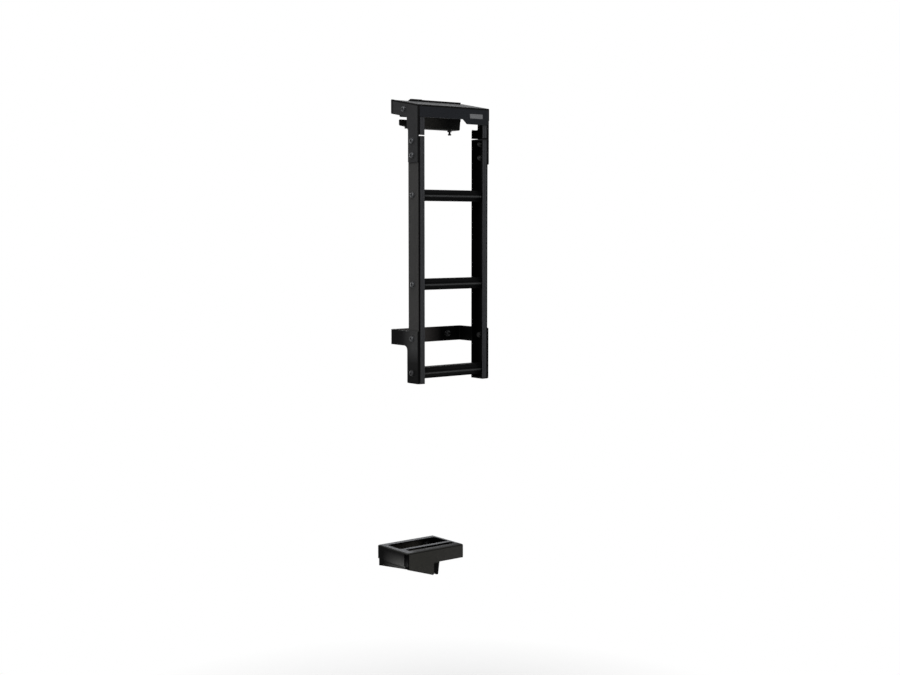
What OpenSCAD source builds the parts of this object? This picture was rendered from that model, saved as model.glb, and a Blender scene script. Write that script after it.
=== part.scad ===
// Ladder that hangs from a top clamp and is bolted on below, with a separate tray step.
// X runs to the right, Y from the rungs towards the mounting face, Z up.
// The origin is on the back face of the lower bracket, at its centre.

/* [Ladder] */
// Clear width between the stiles
inner_w = 185; // [160:1:240]
// Width of a stile, seen from behind
stile_w = 17.5; // [15:0.5:20]
// Depth of a stile, seen from the side
stile_d = 45; // [42:1:50]
// Length of a stile
stile_h = 612; // [590:1:640]
// Wall of the stile channel
stile_wall = 2.5; // [2:0.1:3]
// Distance from the mounting face to the back of the stiles
stand_off = 73; // [66:1:90]
// Outer corner radius of the stile channel
stile_r = 2; // [1:0.5:4]

/* [Rungs] */
// Distance from one rung to the next
rung_pitch = 221; // [200:1:225]
// Height of the lowest rung's centre over the foot of the stiles
rung_rise = 26; // [22:1:40]
// Distance from the front of a stile to the middle of the rungs
rung_in = 25; // [22:0.5:25]
// Height of the rung extrusion
rung_h = 28; // [26:1:30]
// Depth of the rung extrusion
rung_d = 32; // [30:1:34]
// Wall of the rung extrusion
rung_wall = 2.4; // [2:0.1:3]
// Core diameter of the screw port in the middle of a rung
port_d = 6.8; // [5:0.1:8]

/* [Sheet parts] */
// Thickness of the folded and flat plates
plate_t = 3; // [2:0.5:4]
// Radius of the cut corners of a plate
corner_r = 3; // [1:0.5:4]
// Inner radius of a fold
fold_r = 1; // [0.5:0.5:2]

/* [Bolt holes] */
// Diameter of the holes for the bolts that join stiles, rungs and plates
side_bolt_d = 8.5; // [6.5:0.5:10.5]
// Distance from the front of a stile to the bolts of its plates
side_bolt_in = 23; // [18:1:26]
// Height of the lower plate bolt over the lower edge of a side plate
side_bolt_up = 17.5; // [14:0.5:20]
// Distance between the two plate bolts
side_bolt_gap = 35; // [28:1:38]
// Distance from the tip of an arm back to its bolt
arm_bolt_in = 54; // [46:1:56]

/* [Lower bracket] */
// Height of the band that runs round the back of the ladder
band_h = 38; // [30:1:45]
// Height of the band's centre over the foot of the stiles
band_rise = 112; // [100:1:130]
// Outer radius of the band's two folds
band_r = 6; // [4:1:10]
// Width of the legs that run down the stiles
leg_d = 46; // [42:1:50]
// Radius between the band and a leg
leg_fillet = 12; // [6:1:16]
// Distance between the two holes for the fixing bolts
body_bolt_gap = 136; // [100:1:150]
// Diameter of the holes for the fixing bolts
body_bolt_d = 8.5; // [6.5:0.5:10.5]

/* [Top bracket] */
// Gap between the stiles and the top bracket
seam = 2.5; // [1.5:0.5:6]
// Height of the blocks that carry the top bracket
block_h = 23.5; // [18:0.5:26]
// Depth of the narrow neck of a block
neck_d = 30; // [26:1:32]
// Height of the neck, up to the level of the fascia's lower edge
neck_h = 20.5; // [18:0.5:26]
// Height of the fascia
fascia_h = 30; // [26:1:34]
// Extra height of the fascia's deep end
tab_drop = 11.5; // [8:0.5:14]
// Length of the fascia's deep end
tab_l = 68; // [62:1:76]
// Width of the blank plate on the fascia
label_w = 42; // [36:1:48]
// Height of the blank plate on the fascia
label_h = 12; // [8:1:14]
// Slope of the top tread, in degrees
slope = 10.1; // [6:0.1:12]
// Reach of the arms from the front of the fascia
arm_reach = 113; // [104:1:118]
// Height of an arm at its tip
arm_h = 36; // [30:1:38]
// Length of the side plates below the seam
side_drop = 64; // [56:1:70]
// Depth of the side plates below their shoulder
side_d = 41; // [38:1:45]

/* [Top clamp] */
// Length of the hook plate
hook_l = 194; // [180:1:200]
// Length of the clamp jaw
jaw_l = 195; // [180:1:198]
// Height of the open slot at the left end of the clamp
gutter_gap = 6.5; // [5:0.5:9]
// Reach of the clamp jaw's ledge
jaw_reach = 22; // [18:1:28]
// Distance between the two clamp bolts
clamp_bolt_gap = 124; // [110:1:130]
// Diameter of a clamp bolt
clamp_bolt_d = 6; // [5:0.5:8]
// Thickness of the rubber strips
pad_t = 2; // [1:0.5:3]

/* [Step] */
// Length of the step
step_l = 175; // [155:1:200]
// Depth of the step
step_d = 126; // [110:1:140]
// Height of the step's rim
step_rim = 35; // [30:1:40]
// Drop from the foot of the ladder to the top of the step
step_drop = 413; // [380:1:450]
// Depth of the large opening
hole_d = 58; // [50:1:64]
// Depth of the long slot
slot_d = 18; // [12:1:22]
// Width of the bar between the opening and the slot
bar_d = 12; // [8:1:16]
// Depth of the step's bracket below the rim
support_h = 35; // [28:1:40]
// Diameter of the holes for the step's bolts
step_bolt_d = 8.5; // [6.5:0.5:10.5]
// Distance between the step's two bolts
step_bolt_gap = 128; // [110:1:134]

/* [Hidden] */

black = "#26282b";
satin = "#33363a";
rubber = "#101112";
silver = "#b9bcc0";
steel = "#8d9094";
arc_fn = 48;
corner_steps = 6;
e = 0.01;

inner_x = inner_w / 2;
outer_x = inner_x + stile_w;
web_in_x = outer_x - stile_wall;
side_x = outer_x + plate_t;
back_y = -stand_off;
front_y = back_y - stile_d;
rung_y = front_y + rung_in;
foot_z = -band_rise;
cap_t = 3;
top_z = foot_z + stile_h;
block_z = top_z + seam;
neck_z = block_z + block_h;
fascia_z = neck_z + neck_h;
crest_z = fascia_z + fascia_h;
fascia_y = front_y - 1;
tab_x = outer_x - tab_l;
tip_y = fascia_y + arm_reach;
rise = tan(slope);
plate_bolt_y = front_y + side_bolt_in;
plate_bolt_z = top_z - side_drop + side_bolt_up;
arm_bolt_y = tip_y - arm_bolt_in;

module across(x0, t) {
    translate([x0, 0, 0]) rotate([90, 0, 90]) linear_extrude(t) children();
}

module upright(y0, t) {
    translate([0, y0, 0]) rotate([90, 0, 0]) linear_extrude(t) children();
}

module mirrored_x() {
    children();
    mirror([1, 0, 0]) children();
}

// Outline whose corners are rounded by the radii in rs
function unit(v) = v / norm(v);
function between(a, b) = (b - a + 540) % 360 - 180;

function corner(a, b, c, r) =
    let (u = unit(a - b), v = unit(c - b), half = acos(u * v) / 2,
        mid = b + unit(u + v) * r / sin(half),
        p = b + u * r / tan(half) - mid, q = b + v * r / tan(half) - mid,
        start = atan2(p[1], p[0]), turn = between(start, atan2(q[1], q[0])))
    [for (i = [0 : corner_steps]) mid + r * [cos(start + turn * i / corner_steps),
        sin(start + turn * i / corner_steps)]];

function rounded(ps, rs) = let (n = len(ps)) [for (i = [0 : n - 1])
    each rs[i] == 0 ? [ps[i]] : corner(ps[(i + n - 1) % n], ps[i], ps[(i + 1) % n], rs[i])];

// Holes along X through a plate that starts at x0
module side_holes(x0, t, places, d = side_bolt_d) {
    for (p = places) translate([x0 - e, p[0], p[1]]) rotate([0, 90, 0])
        cylinder(h = t + 2 * e, d = d, $fn = arc_fn);
}

module rounded_box(w, d, r) {
    translate([r, 0]) square([w - 2 * r, d]);
    translate([0, r]) square([w, d - 2 * r]);
    for (x = [r, w - r], y = [r, d - r]) translate([x, y]) circle(r, $fn = arc_fn);
}

// Stiles are channels that open towards the rungs, with an end cap at each end

flute_w = 1.2;
flute_d = 0.5;
flute_places = [0.3, 0.7];
lip = 1;
rung_zs = [for (i = [0 : 2]) foot_z + rung_rise + rung_pitch * i];
rung_places = [for (z = rung_zs) [rung_y, z]];
plate_places = [[plate_bolt_y, plate_bolt_z], [plate_bolt_y, plate_bolt_z + side_bolt_gap]];
arm_bolt_z = crest_z - arm_h / 2 + (arm_bolt_y - fascia_y) * rise;

module stile_outline() {
    difference() {
        translate([-stile_w, 0]) rounded_box(2 * stile_w, stile_d, stile_r);
        translate([-stile_w - e, -e]) square([stile_w + e, stile_d + 2 * e]);
    }
}

module stile_section() {
    difference() {
        stile_outline();
        for (x = flute_places, y = [0, stile_d])
            translate([stile_w * x - flute_w / 2, y - flute_d]) square([flute_w, 2 * flute_d]);
        translate([lip, stile_wall])
            square([stile_w - stile_wall - lip, stile_d - 2 * stile_wall]);
        translate([-e, stile_wall + lip]) square([2 * lip, stile_d - 2 * stile_wall - 2 * lip]);
    }
}

module right_stile() {
    color(satin) difference() {
        translate([inner_x, front_y, foot_z + cap_t])
            linear_extrude(stile_h - 2 * cap_t) stile_section();
        side_holes(web_in_x, stile_wall, concat(rung_places, plate_places, [[rung_y, 0]]));
    }
}

module left_stile() {
    mirror([1, 0, 0]) right_stile();
}

module end_cap(z0) {
    color(black) translate([inner_x, front_y, z0])
        linear_extrude(cap_t) stile_outline();
}

module right_foot_cap() {
    end_cap(foot_z);
}

module left_foot_cap() {
    mirror([1, 0, 0]) end_cap(foot_z);
}

module right_top_cap() {
    end_cap(top_z - cap_t);
}

module left_top_cap() {
    mirror([1, 0, 0]) end_cap(top_z - cap_t);
}

// Rungs

ridge_h = 6;
groove_d = 1.4;
tooth = 3.2;
tooth_d = 1.2;

// Quarter of the outline: depth and height from the middle of the rung
function rung_nose() = [
    [rung_d / 2, ridge_h / 2],
    [rung_d / 2 - groove_d, ridge_h / 2 + 0.6],
    [rung_d / 2 - groove_d, ridge_h / 2 + 1.8],
    [rung_d / 2 - groove_d / 2, ridge_h / 2 + 2.4],
    [rung_d / 2 - 2.6, rung_h / 2 - 5],
    [rung_d / 2 - 4, rung_h / 2 - 4.6],
    [rung_d / 2 - 4, rung_h / 2 - 3.4],
    [rung_d / 2 - 4.6, rung_h / 2]];

function rung_teeth() = [for (i = [0 : 2], p = [0 : 3])
    [tooth * (2.5 - i) + [0.4, 0.2, -0.2, -0.4][p] * tooth / 2 + 0.2,
        rung_h / 2 - [0, tooth_d, tooth_d, 0][p]]];

function rung_quarter() = concat(rung_nose(), rung_teeth());
function flipped(p, sx, sy) = [for (q = p) [q[0] * sx, q[1] * sy]];
function reversed(p) = [for (i = [len(p) - 1 : -1 : 0]) p[i]];

module rung_section() {
    chamber = rung_d / 2 - 7;
    difference() {
        polygon(concat(
            rung_quarter(),
            reversed(flipped(rung_quarter(), -1, 1)),
            flipped(rung_quarter(), -1, -1),
            reversed(flipped(rung_quarter(), 1, -1))));
        for (s = [-1, 1]) difference() {
            polygon([[-rung_d / 2 + rung_wall + 2, s * rung_wall / 2],
                [rung_d / 2 - rung_wall - 2, s * rung_wall / 2],
                [rung_d / 2 - rung_wall - 3, s * (rung_h / 2 - 6)],
                [chamber, s * (rung_h / 2 - rung_wall - tooth_d)],
                [-chamber, s * (rung_h / 2 - rung_wall - tooth_d)],
                [-rung_d / 2 + rung_wall + 3, s * (rung_h / 2 - 6)]]);
            circle(port_d / 2 + rung_wall, $fn = arc_fn);
        }
        circle(port_d / 2, $fn = arc_fn);
    }
}

module rung(i) {
    color(satin) translate([0, rung_y, rung_zs[i]])
        across(-web_in_x, 2 * web_in_x) rung_section();
}

module rung_1() {
    rung(0);
}

module rung_2() {
    rung(1);
}

module rung_3() {
    rung(2);
}

// Lower bracket

plate_back_y = front_y + leg_d;

// Side view of a leg with the band's end above it
module leg_outline() {
    end_y = plate_back_y + leg_fillet + corner_r;
    polygon(rounded([
        [front_y, foot_z],
        [plate_back_y, foot_z],
        [plate_back_y, -band_h / 2],
        [end_y, -band_h / 2],
        [end_y, band_h / 2],
        [front_y, band_h / 2]],
        [corner_r, corner_r, leg_fillet, 0, 0, corner_r]));
}

module band_section() {
    difference() {
        translate([-side_x, front_y]) rounded_box(2 * side_x, -front_y, band_r);
        translate([-outer_x, front_y - plate_t])
            rounded_box(2 * outer_x, -front_y, band_r - plate_t);
        translate([-side_x - e, front_y - e]) square([2 * side_x + 2 * e, stile_d]);
    }
}

module lower_bracket() {
    color(black) difference() {
        union() {
            translate([0, 0, -band_h / 2]) linear_extrude(band_h) band_section();
            mirrored_x() across(outer_x, plate_t) leg_outline();
        }
        for (x0 = [-side_x, outer_x])
            side_holes(x0, plate_t, [rung_places[0], [rung_y, 0]]);
        for (s = [-1, 1]) translate([s * body_bolt_gap / 2, e, 0]) rotate([90, 0, 0])
            cylinder(h = plate_t + 2 * e, d = body_bolt_d, $fn = arc_fn);
    }
}

// Top bracket: side plates, blocks, fascia

arm_base_z = crest_z + (tip_y - fascia_y) * rise - arm_h;
side_back_y = front_y + side_d;
shoulder = 6;

// Side view of a side plate; neck_y is its back edge between shoulder and arm
module side_outline(neck_y) {
    polygon(rounded([
        [front_y, top_z - side_drop],
        [front_y, fascia_z],
        [fascia_y, fascia_z],
        [fascia_y, crest_z],
        [tip_y, crest_z + (tip_y - fascia_y) * rise],
        [tip_y, arm_base_z],
        [neck_y, arm_base_z + (neck_y - tip_y) * rise],
        [neck_y, neck_z],
        [side_back_y, neck_z - shoulder - (neck_y - side_back_y)],
        [side_back_y, top_z - side_drop]],
        [corner_r, 0, 0, corner_r, corner_r, corner_r, corner_r, shoulder / 4, shoulder / 4,
            corner_r]));
}

module side_plate(neck_y) {
    color(black) difference() {
        across(outer_x, plate_t) side_outline(neck_y);
        side_holes(outer_x, plate_t, concat(plate_places, [[arm_bolt_y, arm_bolt_z]]));
    }
}

module upper_right_plate() {
    side_plate(side_back_y + 1);
}

module upper_left_plate() {
    mirror([1, 0, 0]) side_plate(plate_back_y);
}

block_r = 6;

// Side view of a block: full depth at its foot, a narrow neck above
module block_outline(neck_top) {
    translate([front_y, block_z]) square([stile_d, block_h - block_r]);
    translate([front_y, block_z]) square([stile_d - block_r, block_h]);
    translate([back_y - block_r, neck_z - block_r]) circle(block_r, $fn = arc_fn);
    translate([front_y, block_z]) square([neck_d, neck_top - block_z]);
    translate([fascia_y + plate_t, block_z])
        square([neck_d - plate_t + 1, crest_z - plate_t - 4 - block_z]);
}

module block(neck_top) {
    intersection() {
        across(inner_x, stile_w) block_outline(neck_top);
        translate([inner_x, front_y, block_z - e]) linear_extrude(crest_z - block_z)
            stile_section();
    }
}

module right_top_block() {
    color(satin) block(fascia_z - tab_drop);
}

module left_top_block() {
    color(satin) mirror([1, 0, 0]) block(fascia_z);
}

label_edge = 18;
label_rise = 9;
label_x = outer_x - label_edge - label_w / 2;
label_z = fascia_z + label_rise;
slant = 13;
label_t = 1;
label_gap = 0.3;
label_sink = 0.2;

module fascia_outline() {
    polygon(rounded([
        [-outer_x, fascia_z],
        [tab_x - slant, fascia_z],
        [tab_x, fascia_z - tab_drop],
        [outer_x, fascia_z - tab_drop],
        [outer_x, crest_z],
        [-outer_x, crest_z]],
        [0, corner_r, corner_r, 0, corner_r + 1, 0]));
}

module top_fascia() {
    color(black) difference() {
        upright(fascia_y + plate_t, plate_t) fascia_outline();
        translate([label_x - label_w / 2, fascia_y - e, label_z - label_h / 2])
            cube([label_w, label_t + e, label_h]);
    }
}

module blank_plate() {
    w = label_w - 2 * label_gap;
    h = label_h - 2 * label_gap;
    color(silver) translate([label_x - w / 2, fascia_y + label_t, label_z - h / 2])
        upright(0, label_t - label_sink) rounded_box(w, h, 1);
}

// Top tread: a sloping plate with fine grooves and folded sides

hook_in = 14;
hook_y = tip_y - hook_in;
tread_pitch = 6;
tread_groove_w = 1;
tread_groove_d = 0.8;
tread_edge = 4;
flange_h = 26;

function crest(y) = crest_z + (y - fascia_y) * rise;

module tread_outline() {
    y0 = fascia_y + plate_t;
    y1 = hook_y - plate_t;
    difference() {
        polygon([
            [y0, crest(y0) - plate_t],
            [y1, crest(y1) - plate_t],
            [y1, crest(y1)],
            [y0, crest(y0)]]);
        for (y = [y0 + tread_edge : tread_pitch : y1 - tread_groove_w - tread_edge])
            translate([y, crest(y) - tread_groove_d]) square([tread_groove_w, 2 * tread_groove_d]);
    }
}

module flange_outline() {
    y0 = plate_back_y;
    y1 = hook_y - plate_t - tread_edge;
    polygon(rounded([
        [y0, crest(y0) - flange_h],
        [y1, crest(y1) - flange_h],
        [y1, crest(y1) - plate_t + e],
        [y0, crest(y0) - plate_t + e]],
        [corner_r, corner_r, 0, 0]));
}

module top_tread() {
    color(satin) {
        across(-outer_x, 2 * outer_x) tread_outline();
        for (x0 = [-outer_x, outer_x - plate_t]) difference() {
            across(x0, plate_t) flange_outline();
            side_holes(x0, plate_t, [[arm_bolt_y, arm_bolt_z]]);
        }
    }
}

// Top clamp: hook plate, jaw, rubber strips and bolts

back_lip_h = 4;
raised_h = 5;
raised_l = 36;
ramp = 2;
gutter_rise = 20;
gutter_z = neck_z + gutter_rise;
slot_top_z = gutter_z + gutter_gap;
crest_back_z = crest(hook_y);
notch_l = 32;
notch_x = notch_l - hook_l / 2;
notch_overlap = 2;
end_drop = 16;
cut_l = 10;
lug_w = 18;
lug_l = 14;
lug_z = slot_top_z + notch_overlap;
bolt_y = hook_y + lug_l / 2;
bolt_slack = 0.6;
clamp_bolt_shift = 6;
clamp_bolt_xs = [for (s = [-1, 1]) clamp_bolt_shift + s * clamp_bolt_gap / 2];

module clamp_holes(z0) {
    for (x = clamp_bolt_xs) translate([x, bolt_y, z0 - e])
        cylinder(h = plate_t + 2 * e, d = clamp_bolt_d + bolt_slack, $fn = arc_fn);
}

module hook_outline() {
    half = hook_l / 2;
    polygon(rounded([
        [-half, slot_top_z],
        [notch_x, slot_top_z],
        [notch_x, gutter_z + notch_overlap],
        [half, gutter_z + notch_overlap],
        [half, crest_back_z + back_lip_h],
        [notch_x + raised_l + ramp, crest_back_z + back_lip_h],
        [notch_x + raised_l, crest_back_z + raised_h],
        [notch_x + ramp, crest_back_z + raised_h],
        [notch_x - cut_l, crest_back_z - plate_t],
        [-half, crest_back_z - plate_t - end_drop]],
        [corner_r, 1, 1, corner_r, 1, 0.2, 0.2, 2, 2, corner_r]));
}

module gutter_hook() {
    color(black) difference() {
        union() {
            upright(hook_y, plate_t) hook_outline();
            for (x = clamp_bolt_xs) translate([x - lug_w / 2, hook_y - e, lug_z])
                linear_extrude(plate_t) polygon(rounded([[0, 0], [lug_w, 0], [lug_w, lug_l], [0, lug_l]],
                    [0, 0, corner_r, corner_r]));
        }
        clamp_holes(lug_z);
    }
}

jaw_drop = 20;
jaw_z = gutter_z - jaw_drop;
jaw_lap = 6;
jaw_in_y = hook_y - plate_t;
jaw_shift = 3.5;
jaw_left_x = -jaw_l / 2 - jaw_shift;
jaw_right_x = jaw_l / 2 - jaw_shift;
jaw_cut = 5;

// Front view of the jaw's upright leg, with its lower corners cut
module clamp_outline() {
    polygon(rounded([
        [jaw_left_x, jaw_z + jaw_cut],
        [notch_x, jaw_z],
        [jaw_right_x - jaw_cut / 2, jaw_z],
        [jaw_right_x, slot_top_z + jaw_lap],
        [notch_x, slot_top_z + jaw_lap],
        [notch_x, gutter_z],
        [jaw_left_x, gutter_z]],
        [corner_r, 0, 1, corner_r, corner_r, 1, corner_r]));
}

// Folded angle that the jaw is cut from: its leg, the fold and its ledge
module jaw_section() {
    r = fold_r + plate_t;
    difference() {
        union() {
            translate([jaw_in_y - plate_t, jaw_z + r]) square([plate_t, slot_top_z + jaw_lap - jaw_z - r]);
            translate([jaw_in_y - plate_t + r, jaw_z]) square([jaw_reach + 2 * plate_t - r, plate_t]);
            translate([jaw_in_y - plate_t + r, jaw_z + r]) circle(r, $fn = arc_fn);
        }
        translate([jaw_in_y, jaw_z + plate_t + fold_r]) square([jaw_reach, r]);
        translate([jaw_in_y + fold_r, jaw_z + plate_t]) square([jaw_reach, r]);
        translate([jaw_in_y + fold_r, jaw_z + plate_t + fold_r]) circle(fold_r, $fn = arc_fn);
    }
}

// The ledge ends at the notch, and the leg alone runs on to the left
module gutter_clamp() {
    color(black) difference() {
        intersection() {
            union() {
                across(notch_x, jaw_right_x - notch_x) jaw_section();
                translate([jaw_left_x, jaw_in_y - plate_t, jaw_z])
                    cube([notch_x - jaw_left_x + e, plate_t, gutter_z - jaw_z]);
            }
            upright(hook_y + jaw_reach, jaw_reach + 2 * plate_t) clamp_outline();
        }
        clamp_holes(jaw_z);
    }
}

pad_y = bolt_y + clamp_bolt_d;

module upper_gutter_pad() {
    color(rubber) for (x = clamp_bolt_xs)
        translate([x - lug_w / 2, hook_y, lug_z - pad_t]) cube([lug_w, pad_t, pad_t]);
}

module lower_gutter_pad() {
    color(rubber) translate([notch_x, pad_y, jaw_z + plate_t])
        cube([jaw_right_x - jaw_cut / 2 - notch_x, hook_y + jaw_reach - pad_y, pad_t]);
}

nut_h = 5;
head_h = 4;
head_d = 9;
bolt_tail = 13;

module clamp_bolt(x) {
    corners = clamp_bolt_d * 5 / 3 / cos(30);
    color(steel) translate([x, bolt_y, 0]) {
        translate([0, 0, jaw_z - bolt_tail])
            cylinder(h = lug_z + plate_t - jaw_z + bolt_tail + e, d = clamp_bolt_d, $fn = arc_fn);
        translate([0, 0, jaw_z - bolt_tail]) cylinder(h = head_h, d = head_d, $fn = arc_fn);
        translate([0, 0, jaw_z - nut_h]) cylinder(h = nut_h, d = corners, $fn = 6);
        translate([0, 0, lug_z + plate_t]) cylinder(h = nut_h, d = corners, $fn = 6);
    }
}

module right_clamp_bolt() {
    clamp_bolt(clamp_bolt_xs[1]);
}

module left_clamp_bolt() {
    clamp_bolt(clamp_bolt_xs[0]);
}

// Step

step_x = -168;
step_back_y = -20;
step_z = foot_z - step_drop;
step_y = step_back_y - step_d;
rim_z = step_z - step_rim;
rim_left = 14;
rim_right = 10;
rim_back = 19;
slot_in = 6;
opening_r = 3;
support_l = 102;
web_x = step_x + support_l;
skirt_x = web_x - 20;
skirt_left = 6.5;
skirt_back = 19;
web_slant = 6;
relief_x = 4;
relief_y = 14;

module rounded_opening(x0, y0, w, d) {
    translate([x0, y0]) rounded_box(w, d, opening_r);
}

module tray_openings() {
    hole_y = step_back_y - rim_back - hole_d;
    w = step_l - rim_left - rim_right;
    rounded_opening(step_x + rim_left, hole_y, w, hole_d);
    rounded_opening(step_x + rim_left + slot_in, hole_y - bar_d - slot_d, w - slot_in, slot_d);
}

// End view of the tray, inset from its outer faces, with its two upper edges folded over
module fold_outline(w, inset) {
    r = fold_r + plate_t - inset;
    translate([inset, rim_z - inset]) square([w - 2 * inset, step_rim - r]);
    translate([inset + r, rim_z - inset]) square([w - 2 * inset - 2 * r, step_rim]);
    for (x = [inset + r, w - inset - r])
        translate([x, step_z - inset - r]) circle(r, $fn = arc_fn);
}

module tray_block(inset) {
    intersection() {
        across(step_x, step_l) translate([step_y, 0]) fold_outline(step_d, inset);
        upright(step_back_y, step_d) translate([step_x, 0]) fold_outline(step_l, inset);
    }
}

// The part of the rear flange that hangs below the rim, over the bracket
module skirt_outline() {
    polygon(rounded([
        [step_x, rim_z + e],
        [step_x, rim_z - skirt_left],
        [skirt_x, rim_z - support_h + plate_t],
        [skirt_x, rim_z + e]],
        [0, corner_r, corner_r, 0]));
}

module step_tray() {
    color(black) difference() {
        union() {
            difference() {
                tray_block(0);
                tray_block(plate_t);
            }
            upright(step_y + plate_t, plate_t) skirt_outline();
        }
        translate([0, 0, step_z - plate_t - e]) linear_extrude(plate_t + 2 * e) tray_openings();
        translate([step_x - e, step_y - e, rim_z])
            cube([relief_x + e, relief_y + e, step_rim - plate_t - fold_r]);
        for (s = [-1, 1])
            translate([step_x + (step_l + s * step_bolt_gap) / 2, step_back_y + e, step_z - step_rim / 2])
                rotate([90, 0, 0]) cylinder(h = plate_t + 2 * e, d = step_bolt_d, $fn = arc_fn);
    }
}

// Support under the tray: floor, right web, a wedge at the left and a tapered back
module step_bracket() {
    y0 = step_y + plate_t;
    z0 = rim_z - support_h;
    x0 = step_x + plate_t;
    color(black) {
        translate([x0, y0, rim_z - plate_t]) cube([web_x - x0, step_back_y - y0, plate_t]);
        across(web_x - plate_t, plate_t) polygon(rounded([
            [step_back_y, z0],
            [y0 + web_slant, z0],
            [y0, rim_z],
            [step_back_y, rim_z]],
            [0, corner_r, 0, 0]));
        upright(step_back_y, plate_t) polygon([
            [x0, rim_z],
            [x0, rim_z - skirt_back],
            [skirt_x, z0],
            [web_x, z0],
            [web_x, rim_z]]);
        across(x0, plate_t) polygon([
            [step_back_y, rim_z],
            [step_back_y, rim_z - skirt_back],
            [y0, rim_z - skirt_left],
            [y0, rim_z]]);
    }
}

left_stile();
right_stile();
left_foot_cap();
right_foot_cap();
left_top_cap();
right_top_cap();
rung_1();
rung_2();
rung_3();
lower_bracket();
upper_left_plate();
upper_right_plate();
left_top_block();
right_top_block();
top_fascia();
blank_plate();
top_tread();
gutter_hook();
gutter_clamp();
upper_gutter_pad();
lower_gutter_pad();
left_clamp_bolt();
right_clamp_bolt();
step_tray();
step_bracket();
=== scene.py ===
"""Looks of a clamped ladder and its separate step: finishes, bolts, light and camera."""
import math

import bmesh
import bpy
from mathutils import Matrix, Vector


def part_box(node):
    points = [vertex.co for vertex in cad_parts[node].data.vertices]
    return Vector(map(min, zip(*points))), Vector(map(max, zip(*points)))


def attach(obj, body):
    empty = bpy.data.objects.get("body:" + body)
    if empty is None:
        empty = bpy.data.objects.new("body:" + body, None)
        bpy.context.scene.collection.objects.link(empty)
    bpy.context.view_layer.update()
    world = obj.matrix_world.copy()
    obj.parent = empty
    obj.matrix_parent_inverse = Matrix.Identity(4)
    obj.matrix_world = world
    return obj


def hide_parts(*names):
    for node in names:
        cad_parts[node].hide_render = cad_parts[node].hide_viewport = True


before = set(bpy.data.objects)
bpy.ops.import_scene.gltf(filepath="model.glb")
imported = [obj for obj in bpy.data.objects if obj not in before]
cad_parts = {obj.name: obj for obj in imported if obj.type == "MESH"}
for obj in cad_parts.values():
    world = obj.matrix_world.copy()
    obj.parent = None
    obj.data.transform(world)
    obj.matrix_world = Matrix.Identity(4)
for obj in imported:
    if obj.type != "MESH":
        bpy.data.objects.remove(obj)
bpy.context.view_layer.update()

MM = 0.001


def middle(node):
    """The centre of a node's box."""
    low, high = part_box(node)
    return (low + high) / 2


# Camera, at the photograph's place, angle and framing

CAMERA_PLACE = (-2.1597, -2.8483, 0.2775)
CAMERA_HEADING = (0.618, 0.786)
CAMERA_PITCH = math.radians(4.568)
CAMERA_LENS = 55.32
CAMERA_NEAR_CLIP = 0.05
SENSOR_WIDTH = 36.0


def add_camera():
    """Adds the scene's camera."""
    data = bpy.data.cameras.new("camera")
    data.lens = CAMERA_LENS
    data.sensor_fit = "HORIZONTAL"
    data.sensor_width = SENSOR_WIDTH
    data.clip_start = CAMERA_NEAR_CLIP
    camera = bpy.data.objects.new("camera", data)
    level = math.cos(CAMERA_PITCH)
    forward = Vector((CAMERA_HEADING[0] * level, CAMERA_HEADING[1] * level, -math.sin(CAMERA_PITCH)))
    camera.location = CAMERA_PLACE
    camera.rotation_euler = forward.to_track_quat("-Z", "Y").to_euler()
    bpy.context.scene.collection.objects.link(camera)
    bpy.context.scene.camera = camera


# Node materials

# Places of the Mix node's two colour inputs and of its colour output
MIX_COLOURS = (6, 7)
MIX_RESULT = 2
# Cosines between the bevelled normal and the face's own: an edge shows fully at the first, not at the second
EDGE_TURN = (0.75, 0.99)
EDGE_SAMPLES = 4
ROUND_SAMPLES = 6
# Cosines between a face's normal and an axis: it starts to count as looking along it, and counts fully
LOOKING = (0.8, 0.97)
LOOKING_INWARD = (0.4, 0.6)
# Half the width of a strip's soft border
STRIP_SOFT = 0.3 * MM


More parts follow.
